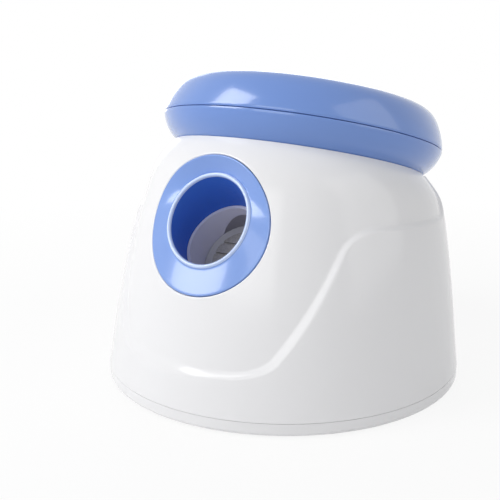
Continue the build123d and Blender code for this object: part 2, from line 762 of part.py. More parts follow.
def gear_plate(x0, standoff_hole):
    plane = Plane(origin=(x0, 0, 0), x_dir=(0, 1, 0), z_dir=(1, 0, 0))
    plate = extrude(plane * plate_outline(), plate_thick)
    holes = [(output_axis, output_shaft_radius + shaft_clearance)]
    holes += [(second_axis, shaft_radius), (first_axis, shaft_radius)]
    holes += [(axis, standoff_hole) for axis in standoff_places()]
    for axis, radius in holes:
        plate -= across(x0 - 1, x0 + plate_thick + 1, axis, radius)
    return plate


def gearbox_inner_plate():
    plate = gear_plate(inner_plate_x, screw_radius)
    holes = [(motor_axis, motor_hole), *[(axis, screw_radius) for axis in motor_screw_axes()]]
    for axis, radius in holes:
        plate -= across(inner_plate_x - 1, inner_plate_x + plate_thick + 1, axis, radius)
    return plate


def gearbox_outer_plate():
    return gear_plate(outer_plate_x, screw_radius + shaft_clearance)


def motor_screw_axes():
    return [beside(motor_axis, bearing, motor_screw_reach) for bearing in motor_screw_bearings]


def motor_screws():
    x = inner_plate_x + plate_thick
    length = plate_thick + motor_screw_depth
    return [Pos(x, *axis) * Rot(0, -90, 0) * screw(length) for axis in motor_screw_axes()]


def standoff_places():
    axes = (output_axis, second_axis, first_axis, motor_axis)
    return [beside(axis, *post) for axis, post in zip(axes, (output_post, second_post, first_post, motor_post))]


def gearbox_standoffs():
    near, far = inner_plate_x + plate_thick, outer_plate_x
    posts = []
    for axis in standoff_places():
        post = across(near, far, axis, standoff_radius) + across(inner_plate_x, near, axis, screw_radius)
        posts.append(post - across(far - 8, far, axis, screw_radius))
    return posts


# ---------------------------------------------------------------- battery bay
def cell_places():
    pitch_y = 2 * cell_radius + cell_gap
    spots = []
    for row in range(cell_rows):
        y = bay_y + (row - (cell_rows - 1) / 2) * pitch_y
        for k in range(cells_across):
            spots.append((row, (k - (cells_across - 1) / 2) * cell_length, y))
    return spots


def battery_cells():
    """C cells on their sides, alternate rows the other way round."""
    cells = []
    z = floor_z + bay_height - cell_radius
    for row, x, y in cell_places():
        can = Pos(0, 0, -nub_length / 2) * Cylinder(cell_radius, cell_length - nub_length)
        nub = Pos(0, 0, cell_length / 2 - nub_length) * Cylinder(nub_radius, 2 * nub_length)
        turn = 90 if row % 2 == 0 else -90
        cells.append(Pos(x, y, z) * Rot(0, turn, 0) * (can + nub))
    return cells


def battery_contacts():
    """A flat plate or a coned spring at each end of each row."""
    contacts = []
    z = floor_z + bay_height - cell_radius
    for row in range(cell_rows):
        y = bay_y + (row - (cell_rows - 1) / 2) * (2 * cell_radius + cell_gap)
        spring_side = -1 if row % 2 == 0 else 1
        for side in (-1, 1):
            plate = Pos(side * (bay_width - contact_plate) / 2, y, z) * Box(contact_plate, 16, 16)
            tip = nub_radius if side == spring_side else nub_radius - 1
            height = contact_reach - contact_plate
            middle = bay_width / 2 - contact_plate - height / 2
            cone = Pos(side * middle, y, z) * Rot(0, -90 * side, 0) * Cone(2 * nub_radius, tip, height)
            contacts.append(plate + cone)
    return contacts


def battery_door():
    """A ribbed door flush with the underside, on two pins at its front edge, with a finger dip at the back."""
    half_x, half_y = bay_width / 2 - door_gap, bay_depth / 2 - door_gap
    door = slab(-half_x, half_x, bay_y - half_y, bay_y + half_y, door_z, door_z + door_thick)
    for k in range(-3, 4):
        x = 20.0 * k
        rib_top = door_z + door_thick + 0.6
        door += slab(x - 0.8, x + 0.8, bay_y - half_y + 4, bay_y + half_y - 4, door_z, rib_top)
    door -= Pos(0, bay_y + half_y - 9, door_z) * Cylinder(9.0, door_thick)
    pin_reach = bay_width / 2 + 0.7 * bay_wall
    for side in (-1, 1):
        x0, x1 = sorted((side * (half_x - 2), side * pin_reach))
        door += across(x0, x1, door_axis, door_pin_radius)
    return door


# ---------------------------------------------------------------- control panel
def control_panel():
    """A sunk tray behind an opening of the shell, with a flange glued to the shell's inner side."""
    back = panel_floor_y - panel_wall
    tray = form(relief_height - panel_gap) & panel_prism(-panel_gap, back)
    flange = (form(-shell_wall) - form(-shell_wall - panel_wall)) & panel_prism(panel_flange, back)
    tray += flange
    tray -= panel_prism(-panel_gap - panel_wall, panel_floor_y)
    y0, y1 = back - 1, panel_floor_y + 1
    tray -= across_y(button_x, panel_z, y0, y1, button_radius + fit_gap)
    tray -= rocker_space(y0, y1)
    tray -= across_y(jack_x, panel_z, y0, y1, jack_radius)
    for x, z in lens_places():
        tray -= across_y(x, z, y0, y1, lens_radius)
    return tray


def rocker_space(y0, y1):
    half_w, half_h = rocker_width / 2 + fit_gap, rocker_height / 2 + fit_gap
    return slab(rocker_x - half_w, rocker_x + half_w, y0, y1, panel_z - half_h, panel_z + half_h)


def across_y(x, z, y0, y1, radius):
    return Pos(x, (y0 + y1) / 2, z) * Rot(90, 0, 0) * Cylinder(radius, y1 - y0)


def lens_places():
    return [(-28.0, panel_z + k * lens_pitch) for k in (-1, 0, 1)]


def led_lenses():
    back = panel_floor_y - panel_wall - 2.0
    lenses = []
    for x, z in lens_places():
        lens = across_y(x, z, back, panel_floor_y + 0.6, lens_radius)
        lenses.append(lens + across_y(x, z, back, panel_floor_y - panel_wall, lens_radius + 0.6))
    return lenses


def distance_button():
    back = panel_floor_y - panel_wall
    cap = across_y(button_x, panel_z, back - 3.2, panel_floor_y + button_proud, button_radius)
    collar = across_y(button_x, panel_z, back - 1.5, back - fit_gap, button_radius + 1.2)
    stem = across_y(button_x, panel_z, board_face + switch_height + fit_gap + button_travel, back - 1, 2.5)
    return cap + collar + stem


def power_rocker():
    """A key with a hollowed face on two stub pins, at rest tipped to its OFF side."""
    half_w, half_h = rocker_width / 2, rocker_height / 2 - rocker_relief
    outline = Polyline((-3.0, -half_h), (2.2, -half_h), (1.2, 0), (2.2, half_h), (-3.0, half_h), close=True)
    plane = Plane(origin=(-half_w, 0, 0), x_dir=(0, 1, 0), z_dir=(1, 0, 0))
    key = extrude(plane * make_face(outline), rocker_width)
    key += across(-half_w - 1.3, half_w + 1.3, (-rocker_rise, 0), rocker_pin)
    return Pos(rocker_x, rocker_pivot_y, panel_z) * Rot(-rocker_angle, 0, 0) * Pos(0, rocker_rise, 0) * key


def rocker_housing():
    back = panel_floor_y - panel_wall
    half_w, half_h = rocker_width / 2 + 2, rocker_height / 2 + 2
    frame = slab(rocker_x - half_w, rocker_x + half_w, back - 9, back, panel_z - half_h, panel_z + half_h)
    frame -= rocker_space(back - 6, back + 1)
    return frame - across(
        rocker_x - half_w - 1, rocker_x + half_w + 1, (rocker_pivot_y, panel_z), rocker_pin + shaft_clearance
    )


def dc_jack():
    back = panel_floor_y - panel_wall
    body = across_y(jack_x, panel_z, back - 9, panel_floor_y + 0.4, jack_radius)
    body += across_y(jack_x, panel_z, back - 2, back, jack_radius + 1.5)
    body -= across_y(jack_x, panel_z, panel_floor_y + 0.4 - jack_depth, panel_floor_y + 2, jack_bore)
    return body + across_y(jack_x, panel_z, panel_floor_y + 0.3 - jack_depth, panel_floor_y - 1.5, jack_pin)


def control_board():
    y1 = board_face
    board = slab(-34, 34, y1 - board_thick, y1, panel_z - 18, panel_z + 18)
    for x, z in board_screw_places():
        board -= across_y(x, z, y1 - board_thick - 1, y1 + 1, screw_radius + 0.1)
    return board


def board_screw_places():
    return [(side * 31.0, panel_z + 14.0 * up) for side in (-1, 1) for up in (-1, 1)]


def board_parts():
    """What stands on the board: the button's switch, the processor, a relay and two capacitors."""
    y1 = board_face
    switch = slab(button_x - 3, button_x + 3, y1, y1 + switch_height, panel_z - 3, panel_z + 3)
    y0 = y1 - board_thick
    chip = slab(-8, 6, y0 - 1.5, y0, panel_z - 4, panel_z + 4)
    relay = slab(12, 24, y0 - 10, y0, panel_z - 8, panel_z + 8)
    caps = [across_y(x, panel_z + 8, y0 - 10, y0, 4.0) for x in (-24, -14)]
    return [switch, chip, relay, *caps]


def board_posts():
    """Tubes between the panel's back and the board."""
    back, face = panel_floor_y - panel_wall, board_face
    return [
        across_y(x, z, face, back, 2.8) - across_y(x, z, face, back, screw_radius)
        for x, z in board_screw_places()
    ]


# ---------------------------------------------------------------- ball switch in the chute
lever_axis = (-chute_outer - 0.6, switch_rise + 9.0)      # x and height in the chute's frame


def ball_switch():
    face = -chute_outer - switch_pad
    body = slab(face - 9.0, face, -6, 6, switch_rise - 10, switch_rise + switch_half)
    plunger = slab(face - 0.2, face + 0.05, -1.5, 1.5, switch_rise - 2, switch_rise + 1)
    return place(chute, body + plunger)


def switch_lever():
    """A leaf on a pin, its tip inside the chute."""
    x, w = lever_axis
    half = lever_thick / 2
    outline = Polyline(
        (x - half, w + 1), (x + half, w + 1), (x + lever_reach + half, w - lever_drop),
        (x + lever_reach - half, w - lever_drop), close=True,
    )
    leaf = Pos(0, lever_width / 2, 0) * extrude(Plane.XZ * make_face(outline), lever_width)
    pin = Pos(x, 0, w) * Rot(90, 0, 0) * Cylinder(lever_pin, switch_pad_width - 2)
    return place(chute, leaf + pin)


def switch_pad_solid():
    """A flat pad on the chute for the switch, slotted for the lever and bored for its pin."""
    half = switch_pad_width / 2
    pad = slab(
        -chute_outer - switch_pad, -chute_inner + 4, -half, half, switch_rise - switch_half, switch_rise + switch_half
    )
    return place(chute, pad - Pos(0, 0, switch_rise) * Cylinder(chute_inner, 60))


def switch_slot():
    x, w = lever_axis
    half = lever_width / 2 + fit_gap
    slot = slab(
        -chute_outer - 5, -chute_inner + 8, -half, half, w - lever_drop - 2.0, w + 2.0
    )
    bore = Cylinder(lever_pin + shaft_clearance, switch_pad_width)
    return place(chute, slot + Pos(x, 0, w) * Rot(90, 0, 0) * bore)


# ---------------------------------------------------------------- screws
def base_screws():
    lift = Pos(0, 0, pan_z + screw_head + panel_gap)
    return [spot * lift * screw(boss_height) for spot in shell_boss_places()]


def lid_screws():
    return [place(lid, spot * Pos(0, 0, -lid_wall) * screw(2 * lid_wall + 1)) for spot in lid_screw_places()]


def rack_screws():
    return [spot * screw(rack_width + arm_length / 2 - 0.2) for spot in rack_screw_places()]


def gearbox_screws():
    x = outer_plate_x + plate_thick
    return [Pos(x, *axis) * Rot(0, -90, 0) * screw(plate_thick + 5) for axis in standoff_places()]


def board_screws():
    y = board_face - board_thick
    return [Pos(x, y, z) * Rot(-90, 0, 0) * screw(board_thick + 6) for x, z in board_screw_places()]


# ---------------------------------------------------------------- build and write
parts = {
    "base_pan": base_pan,
    "body_shell": body_shell,
    "rubber_feet": rubber_feet,
    "lid_collar": lid_collar,
    "lid_funnel": lid_funnel,
    "nozzle_bezel": nozzle_bezel,
    "launch_barrel": launch_barrel,
    "drop_chute": drop_chute,
    "plunger_head": plunger_head,
    "plunger_pad": plunger_pad,
    "rack_bar": rack_bar,
    "main_spring": main_spring,
    "spring_seat": spring_seat,
    "sector_gear": sector_gear,
    "output_gear": output_gear,
    "output_shaft": output_shaft,
    "second_gear": second_gear,
    "first_gear": first_gear,
    "gear_pins": gear_pins,
    "shaft_collars": shaft_collars,
    "motor_pinion": motor_pinion,
    "motor_shaft": motor_shaft,
    "motor": motor,
    "gearbox_inner_plate": gearbox_inner_plate,
    "gearbox_outer_plate": gearbox_outer_plate,
    "gearbox_standoffs": gearbox_standoffs,
    "motor_screws": motor_screws,
    "battery_cells": battery_cells,
    "battery_contacts": battery_contacts,
    "battery_door": battery_door,
    "control_panel": control_panel,
    "led_lenses": led_lenses,
    "distance_button": distance_button,
    "power_rocker": power_rocker,
    "rocker_housing": rocker_housing,
    "dc_jack": dc_jack,
    "control_board": control_board,
    "board_parts": board_parts,
    "board_posts": board_posts,
    "ball_switch": ball_switch,
    "switch_lever": switch_lever,
    "base_screws": base_screws,
    "lid_screws": lid_screws,
    "rack_screws": rack_screws,
    "gearbox_screws": gearbox_screws,
    "board_screws": board_screws,
}

os.makedirs("parts", exist_ok=True)
for node, make in parts.items():
    made = make()
    solids = made if isinstance(made, list) else [made]
    solids = [solid for shape in solids for solid in shape.solids()]
    shape = solids[0] if len(solids) == 1 else Compound(children=solids)
    export_step(shape, f"parts/{node}.step")
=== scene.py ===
import math

import bpy
import numpy as np
from mathutils import Matrix, Vector

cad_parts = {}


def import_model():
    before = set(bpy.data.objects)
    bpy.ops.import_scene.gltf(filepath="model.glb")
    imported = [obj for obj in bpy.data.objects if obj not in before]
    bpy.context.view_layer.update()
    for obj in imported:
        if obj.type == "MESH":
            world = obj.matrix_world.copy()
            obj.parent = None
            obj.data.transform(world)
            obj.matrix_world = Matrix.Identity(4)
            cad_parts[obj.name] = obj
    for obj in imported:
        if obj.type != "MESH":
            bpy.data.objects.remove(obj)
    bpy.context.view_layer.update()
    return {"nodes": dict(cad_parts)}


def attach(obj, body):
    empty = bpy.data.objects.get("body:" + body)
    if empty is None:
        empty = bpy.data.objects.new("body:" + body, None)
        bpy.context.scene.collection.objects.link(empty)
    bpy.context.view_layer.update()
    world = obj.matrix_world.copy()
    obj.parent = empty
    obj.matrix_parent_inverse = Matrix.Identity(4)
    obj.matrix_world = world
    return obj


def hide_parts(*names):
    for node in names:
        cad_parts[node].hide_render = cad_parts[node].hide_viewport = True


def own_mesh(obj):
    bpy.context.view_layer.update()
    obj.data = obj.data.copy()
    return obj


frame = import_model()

nodes = frame["nodes"]
MM = 0.001

# ---------------------------------------------------------------- the model's dimensions, in mm and degrees
# the body: a circle that rises from the shell's foot to the neck, leaning back and narrowing
BASE_R, NECK_R = 130.0, 93.5
SHELL_Z, NECK_Z, NECK_BACK, LID_TILT = 10.5, 156.5, 21.5, 15.8
# share of the height, and share of the narrowing reached there
FLANK = ((0.0, 0.0), (0.2, 0.109), (0.4, 0.23), (0.6, 0.375), (0.8, 0.55), (0.9, 0.695), (1.0, 1.0))
LEAN_POWER, SHELL_WALL = 1.41, 2.6
PANEL_Z, PANEL_HALF_W, PANEL_HALF_H = 50, 36.0, 20.0

# the relief: its height, its line in y and z, and the radii of the line's bends
RELIEF, RELIEF_RADII = 2.2, (24, 28, 22)
RELIEF_PATH = ((-190, 37.0), (-113, 37.0), (-57.0, 127.0), (60, 120.5), (60, 260))
# how wide its slope is, and how much wider around mid height and towards the front
SLOPE_W, MIDDLE_W, FRONT_W = 3.4, 1.4, 10
MIDDLE_Z, MIDDLE_REACH = 80, 45
FRONT_X, FRONT_REACH, FRONT_Y, FRONT_DEPTH = -14, 60, -84, 30

# mouth and bezel: radii round the mouth's axis or the launch line, and heights over the mouth's plane
MOUTH, MOUTH_R, MOUTH_SLOPE, LAUNCH_ANGLE = np.array((0.0, -91.685, 129.696)), 31.8, 26.0, 44.0
BEZEL_R, BEZEL_DROP, BEZEL_PROUD, BEZEL_FLANGE, BEZEL_EDGE = 47.2, 4.0, 0.35, 5.0, 0.8
BEZEL_WALL = 2.6
LIP_R, LIP_BEAD = MOUTH_R - 0.3, 1.5
LIP_H, LIP_SHAPE, PLATE_H = -0.5, 1.3, -3.5
SLEEVE_R, SLEEVE_OUTER_R, SLEEVE_START, SLEEVE_END = 29.4, 31.6, 13.0, 36.0
BAND_FOOT, BAND_SINK = 0.4, 0.2
# the hole for the bezel in the shell: its gap, its rounded edge and its wall
HOLE_GAP, HOLE_EDGE, HOLE_DEPTH, HOLE_REACH = 0.3, 1.1, 3.4, 40

# lid and bowl, along the lid's own axis
COLLAR_H, COLLAR_FLOOR, COLLAR_FLANGE, LID_WALL, GROOVE = 18.8, 3.0, 12.0, 3.0, 0.25
LID_R, RIM_H = 104.5, 47.0
SHOULDER_R, SHOULDER_H, CREST_R, BOWL_R = 100.1, 34.0, 83.0, 74.0
# how far the shoulder's curve keeps the side's slope, and the crest's level
KEEP_SLOPE, KEEP_LEVEL = 8.0, 9.5
BOWL_FLOOR, BOWL_LOW_R, BOWL_SAG, BOWL_EDGE = 12.0, 30.5, -1.6, 1.6
BOWL_HOLE_R, BOWL_UNDER_R = 28.9, 33
# where the chute meets the launch line, and its lean from upright
CHAMBER_DEPTH, CHUTE_LEAN = 73.0, 25

# main spring, along the launch line from the mouth
SPRING_TOP, SPRING_SEAT, STROKE = -58.0, -134.0, 52.0
SPRING_R, SPRING_WIRE, SPRING_TURNS, CLOSED_TURNS = 12.5, 2.2, 8, 0.75
SPRING_GAP, WIRE_GAP = 0.03, 0.02

# points round each shape, and rows of them up the body
BODY_COLS, BODY_ROWS, RING_COLS, LID_COLS, SKIRT_COLS = 720, 230, 360, 288, 256
COIL_STEPS, WIRE_COLS = 48, 12

# ---------------------------------------------------------------- the view, in metres, radians and pixels
EYE, AZIMUTH, PITCH, ROLL = (0.3394, -0.5308, 0.2507), 0.608, -0.250, -0.005
FOCAL, PICTURE_W, SENSOR_MM = 860.6, 500, 36
LAMPS_AIM = (0, 0, 0.14)
WORLD_FILL = 0.33
FLOOR_HALF, FLOOR_WHITE, SHADE_NEAR, SHADE_FAR = 6, (0.88, 1.0), 0.22, 0.7


def rad(angle):
    return math.radians(angle)


def frame_of(origin, z_dir):
    """The axes of a frame whose x is +X."""
    z = np.array(z_dir, float)
    x = np.array((1.0, 0.0, 0.0))
    return np.array(origin, float), x, np.cross(z, x), z


mouth_f = frame_of(MOUTH, (0, -math.cos(rad(MOUTH_SLOPE)), math.sin(rad(MOUTH_SLOPE))))
launch_f = frame_of(MOUTH, (0, -math.cos(rad(LAUNCH_ANGLE)), math.sin(rad(LAUNCH_ANGLE))))
lid_f = frame_of((0, NECK_BACK, NECK_Z), (0, math.sin(rad(LID_TILT)), math.cos(rad(LID_TILT))))


def world(f, a, b, c):
    """Points given along a frame's own axes, in the model's axes."""
    a, b, c = np.broadcast_arrays(np.asarray(a, float), np.asarray(b, float), np.asarray(c, float))
    o, x, y, z = f
    return o + a[..., None] * x + b[..., None] * y + c[..., None] * z


def full_turn(count):
    return np.linspace(0, 2 * math.pi, count, endpoint=False)


def circle(f, turn, radius, height, shift=0.0):
    """Points round a frame's axis, moved along the frame's y."""
    return world(f, radius * np.cos(turn), shift + radius * np.sin(turn), height)


# ---------------------------------------------------------------- the body's form
def spline(xs, ys):
    """A natural cubic through the points, as a function."""
    xs, ys = np.array(xs, float), np.array(ys, float)
    n = len(xs)
    h = np.diff(xs)
    a = np.zeros((n, n))
    b = np.zeros(n)
    a[0, 0] = a[-1, -1] = 1
    for i in range(1, n - 1):
        a[i, i - 1], a[i, i], a[i, i + 1] = h[i - 1], 2 * (h[i - 1] + h[i]), h[i]
        b[i] = 3 * ((ys[i + 1] - ys[i]) / h[i] - (ys[i] - ys[i - 1]) / h[i - 1])
    c = np.linalg.solve(a, b)
    d = np.diff(c) / (3 * h)
    s = np.diff(ys) / h - h * (2 * c[:-1] + c[1:]) / 3

    def f(x):
        x = np.asarray(x, float)
        i = np.clip(np.searchsorted(xs, x) - 1, 0, n - 2)
        t = x - xs[i]
        return ys[i] + s[i] * t + c[i] * t**2 + d[i] * t**3

    return f


narrowing = spline(*zip(*FLANK))


def section(u):
    """Centre y, centre z, tilt and radius of the body's circle at this share of its height."""
    lean = np.clip(u, 0, None) ** LEAN_POWER
    radius = BASE_R - (BASE_R - NECK_R) * narrowing(u)
    return NECK_BACK * lean, SHELL_Z + (NECK_Z - SHELL_Z) * u, rad(LID_TILT) * lean, radius


def form(u, turn, grow):
    """The body's form at a share of its height, grown outwards."""
    cy, cz, tilt, r = section(u)
    r = r + grow
    return np.stack(
        np.broadcast_arrays(
            r * np.cos(turn), cy + r * np.sin(turn) * np.cos(tilt), cz - r * np.sin(turn) * np.sin(tilt)
        ),
        -1,
    )


def outside(p):
    """How far outside the body's form a point is, measured across its axis."""
    u = (p[..., 2] - SHELL_Z) / (NECK_Z - SHELL_Z)
    rounds = 12
    for _ in range(rounds):
        cy, cz, tilt, r = section(u)
        off = (p[..., 1] - cy) * np.sin(tilt) + (p[..., 2] - cz) * np.cos(tilt)
        u = u + off / (NECK_Z - SHELL_Z)
    cy, cz, tilt, r = section(u)
    across = (p[..., 1] - cy) * np.cos(tilt) - (p[..., 2] - cz) * np.sin(tilt)
    return np.hypot(p[..., 0], across) - r


def height_over_mouth(rho, turn):
    """The body's surface over the mouth's plane, at these polar places round the bezel's centre."""
    a, b = rho * np.cos(turn), rho * np.sin(turn) - BEZEL_DROP
    reach, halvings = 60.0, 40
    low, high = np.full(np.shape(a), -reach), np.full(np.shape(a), reach)
    for _ in range(halvings):
        middle = (low + high) / 2
        out = outside(world(mouth_f, a, b, middle)) > 0
        high = np.where(out, middle, high)
        low = np.where(out, low, middle)
    return (low + high) / 2


def rounded_path(points, radii, step=1.0):
    """A line through the points, each inner corner rounded to its radius."""
    points = [np.array(p, float) for p in points]
    line = [points[0]]
    for i, radius in enumerate(radii, start=1):
        before, corner, after = points[i - 1], points[i], points[i + 1]
        d0 = (before - corner) / np.linalg.norm(before - corner)
        d1 = (after - corner) / np.linalg.norm(after - corner)
        half = math.acos(np.clip(d0 @ d1, -1, 1)) / 2
        centre = corner + (d0 + d1) / np.linalg.norm(d0 + d1) * radius / math.sin(half)
        start, end = corner + d0 * radius / math.tan(half), corner + d1 * radius / math.tan(half)
        a0, a1 = math.atan2(*(start - centre)[::-1]), math.atan2(*(end - centre)[::-1])
        sweep = (a1 - a0 + math.pi) % (2 * math.pi) - math.pi
        for t in np.linspace(0, 1, max(4, int(abs(sweep) * radius / step))):
            line.append(centre + radius * np.array((math.cos(a0 + sweep * t), math.sin(a0 + sweep * t))))
    line.append(points[-1])
    return np.array(line)


relief_line = rounded_path(RELIEF_PATH, RELIEF_RADII)


def side_of_relief(y, z):
    """Signed distance from the relief's line, positive on its proud side."""
    best = np.full(y.shape, 1e9)
    sign = np.ones(y.shape)
    for p, q in zip(relief_line[:-1], relief_line[1:]):
        d = q - p
        t = np.clip(((y - p[0]) * d[0] + (z - p[1]) * d[1]) / (d @ d), 0, 1)
        dy, dz = y - p[0] - t * d[0], z - p[1] - t * d[1]
        dist = np.hypot(dy, dz)
        near = dist < best
        sign = np.where(near, np.where(d[0] * dz - d[1] * dy < 0, 1.0, -1.0), sign)
        best = np.where(near, dist, best)
    return best * sign


def relief(p):
    """How proud the skin stands at these points of the form."""
    s = side_of_relief(p[..., 1], p[..., 2])
    front = np.clip((FRONT_Y - p[..., 1]) / FRONT_DEPTH, 0, 1)
    front = front * np.clip(1 - np.abs(p[..., 0] - FRONT_X) / FRONT_REACH, 0, 1)
    middle = np.clip(1 - np.abs(p[..., 2] - MIDDLE_Z) / MIDDLE_REACH, 0, 1)
    width = SLOPE_W + MIDDLE_W * middle + FRONT_W * front**1.5
    t = np.clip(s / width + 0.5, 0, 1)
    return RELIEF * t * t * (3 - 2 * t)


# ---------------------------------------------------------------- mesh helpers
def add(name, data):
    """A new object of the scene."""
    obj = bpy.data.objects.new(name, data)
    bpy.context.scene.collection.objects.link(obj)
    return obj


def mesh_object(name, points, faces, sharp=35):
    """A smooth mesh from points in mm, creased where it bends by more than sharp degrees."""
    mesh = bpy.data.meshes.new(name)
    mesh.from_pydata([tuple(p) for p in np.asarray(points) * MM], [], [tuple(f) for f in faces])
    mesh.validate()
    obj = add(name, mesh)
    mesh.shade_smooth()
    mesh.set_sharp_from_angle(angle=rad(sharp))
    return obj


def grid_faces(rows, cols, keep=None, base=0, flip=False):
    """The faces between rows of points that each run round; base is the first point's number."""
    faces = []
    for i in range(rows - 1):
        here, there = base + i * cols, base + (i + 1) * cols
        for j in range(cols):
            k = (j + 1) % cols
            face = (here + j, here + k, there + k, there + j)
            if keep is None or keep[i, j]:
                faces.append(face[::-1] if flip else face)
    return faces


def ring_faces(rows, cols):
    """As grid_faces, with the last row joined back to the first."""
    last = (rows - 1) * cols
    closing = [(last + j, last + (j + 1) % cols, (j + 1) % cols, j) for j in range(cols)]
    return grid_faces(rows, cols) + closing


def fillet(corner, before, after, radius, steps):
    """Points of a rounded corner in a profile."""
    corner, before, after = (np.array(v, float) for v in (corner, before, after))
    return rounded_path((before, corner, after), (radius,), step=radius / steps)[1:-1]


def lathe(name, profile, f, cols):
    """A closed profile of (radius, height) turned about a frame's axis."""
    profile = np.array(profile, float)
    pts = circle(f, full_turn(cols), profile[:, :1], profile[:, 1:])
    return mesh_object(name, pts.reshape(-1, 3), ring_faces(len(profile), cols))


def bow(p, q, rise, steps):
    """A shallow parabola from p to q that bulges to its right by rise."""
    p, q = np.array(p, float), np.array(q, float)
    d = (q - p) / np.linalg.norm(q - p)
    n = np.array((d[1], -d[0]))
    return [tuple(p + (q - p) * t + n * rise * 4 * t * (1 - t)) for t in np.linspace(0, 1, steps)]


# ---------------------------------------------------------------- materials
# scales of the textures, per metre, and heights of the bumps, in metres
FLOW_SCALE, SCRATCH_SCALE, PEEL_SCALE, GRIT_SCALE = 9.0, 420.0, 330.0, 900.0
BRUSHED, PLATED = (30, 900, 900), (200, 200, 200)
PEEL_HEIGHT, GRIT_HEIGHT, METAL_HEIGHT = 0.0003, 0.0004, 0.0001


def new_material(name):
    """A material, its node tree and its shader."""
    mat = bpy.data.materials.new(name)
    mat.use_nodes = True
    tree = mat.node_tree
    return mat, tree, tree.nodes["Principled BSDF"]


def link(tree, a, b):
    tree.links.new(a, b)


def noise(tree, scale, detail, roughness=0.5):
    """A noise over the object's own coordinates; its value."""
    coords = tree.nodes.new("ShaderNodeTexCoord")
    node = tree.nodes.new("ShaderNodeTexNoise")
    node.inputs["Scale"].default_value = scale
    node.inputs["Detail"].default_value = detail
    node.inputs["Roughness"].default_value = roughness
    link(tree, coords.outputs["Object"], node.inputs["Vector"])
    return node.outputs["Fac"]


def ramp(tree, source, low, high, start=0.3, end=0.7):
    """Maps a value from start..end to low..high."""
    node = tree.nodes.new("ShaderNodeMapRange")
    node.inputs["From Min"].default_value = start
    node.inputs["From Max"].default_value = end
    node.inputs["To Min"].default_value = low
    node.inputs["To Max"].default_value = high
    link(tree, source, node.inputs["Value"])
    return node.outputs["Result"]


def tint(tree, source, colour, other):
    """A colour that goes to the other one with the source."""
    node = tree.nodes.new("ShaderNodeMix")
    node.data_type = "RGBA"
    node.inputs["A"].default_value = (*colour, 1)
    node.inputs["B"].default_value = (*other, 1)
    link(tree, source, node.inputs["Factor"])
    return node.outputs["Result"]


def bump(tree, shader, height, strength, distance):
    """Lets a value raise the shader's surface; distance is the full height, in metres."""
    node = tree.nodes.new("ShaderNodeBump")
    node.inputs["Strength"].default_value = strength
    node.inputs["Distance"].default_value = distance
    link(tree, height, node.inputs["Height"])
    link(tree, node.outputs["Normal"], shader.inputs["Normal"])


def plastic(name, colour, rough=0.2, grain=0.02, coat=0.0, spread=0.03, specular=0.5):
    """Moulded plastic: faint flow mottling, fine orange peel and hair scratches in the gloss."""
    mat, tree, shader = new_material(name)
    flow = noise(tree, FLOW_SCALE, 2.0)
    other = tuple(max(0.0, c * (1 - spread)) for c in colour)
    link(tree, tint(tree, ramp(tree, flow, 0, 1), colour, other), shader.inputs["Base Color"])
    scratches = noise(tree, SCRATCH_SCALE, 6.0, 0.7)
    link(tree, ramp(tree, scratches, rough * 0.85, rough * 1.25), shader.inputs["Roughness"])
    peel = noise(tree, PEEL_SCALE, 1.0)
    bump(tree, shader, peel, grain, PEEL_HEIGHT)
    shader.inputs["Specular IOR Level"].default_value = specular
    shader.inputs["Coat Weight"].default_value = coat
    shader.inputs["Coat Roughness"].default_value = 0.08
    return mat


def rubber(name, colour):
    """Matt rubber with a fine grit."""
    mat, tree, shader = new_material(name)
    grit = noise(tree, GRIT_SCALE, 4.0)
    other = tuple(c * 1.5 + 0.01 for c in colour)
    link(tree, tint(tree, ramp(tree, grit, 0, 1), colour, other), shader.inputs["Base Color"])
    bump(tree, shader, grit, 0.25, GRIT_HEIGHT)
    shader.inputs["Roughness"].default_value = 0.75
    shader.inputs["Specular IOR Level"].default_value = 0.3
    return mat


def metal(name, colour, rough, grain_scale):
    """Metal whose grain has its own scale along each axis."""
    mat, tree, shader = new_material(name)
    coords = tree.nodes.new("ShaderNodeTexCoord")
    stretch = tree.nodes.new("ShaderNodeMapping")
    stretch.inputs["Scale"].default_value = grain_scale
    grain = tree.nodes.new("ShaderNodeTexNoise")
    grain.inputs["Scale"].default_value = 1.0
    grain.inputs["Detail"].default_value = 5.0
    link(tree, coords.outputs["Object"], stretch.inputs["Vector"])
    link(tree, stretch.outputs["Vector"], grain.inputs["Vector"])
    value = grain.outputs["Fac"]
    other = tuple(c * 0.8 for c in colour)
    link(tree, tint(tree, ramp(tree, value, 0, 1), colour, other), shader.inputs["Base Color"])
    link(tree, ramp(tree, value, rough * 0.7, rough * 1.3), shader.inputs["Roughness"])
    bump(tree, shader, value, 0.12, METAL_HEIGHT)
    shader.inputs["Metallic"].default_value = 1.0
    return mat


white = plastic("white_shell", (0.80, 0.80, 0.815), rough=0.16, spread=0.012)
blue = plastic("blue_lid", (0.14, 0.262, 0.63), rough=0.2, spread=0.03, coat=0.5)
# pale blue-white for the lip bead: a painted highlight, the white rim highlight of the rounded lip put into
# its colour
lip_painted_highlight_blue = plastic("blue_lip_painted_highlight", (0.50, 0.62, 0.90), rough=0.12, spread=0.02, coat=0.5)
# darker, deeper blue for the bore: painted shade of the cavity, on the same plastic as the lid
bore_painted_shade_blue = plastic("blue_bore_painted_shade", (0.038, 0.135, 0.58), rough=0.45, spread=0.03, specular=0.2)
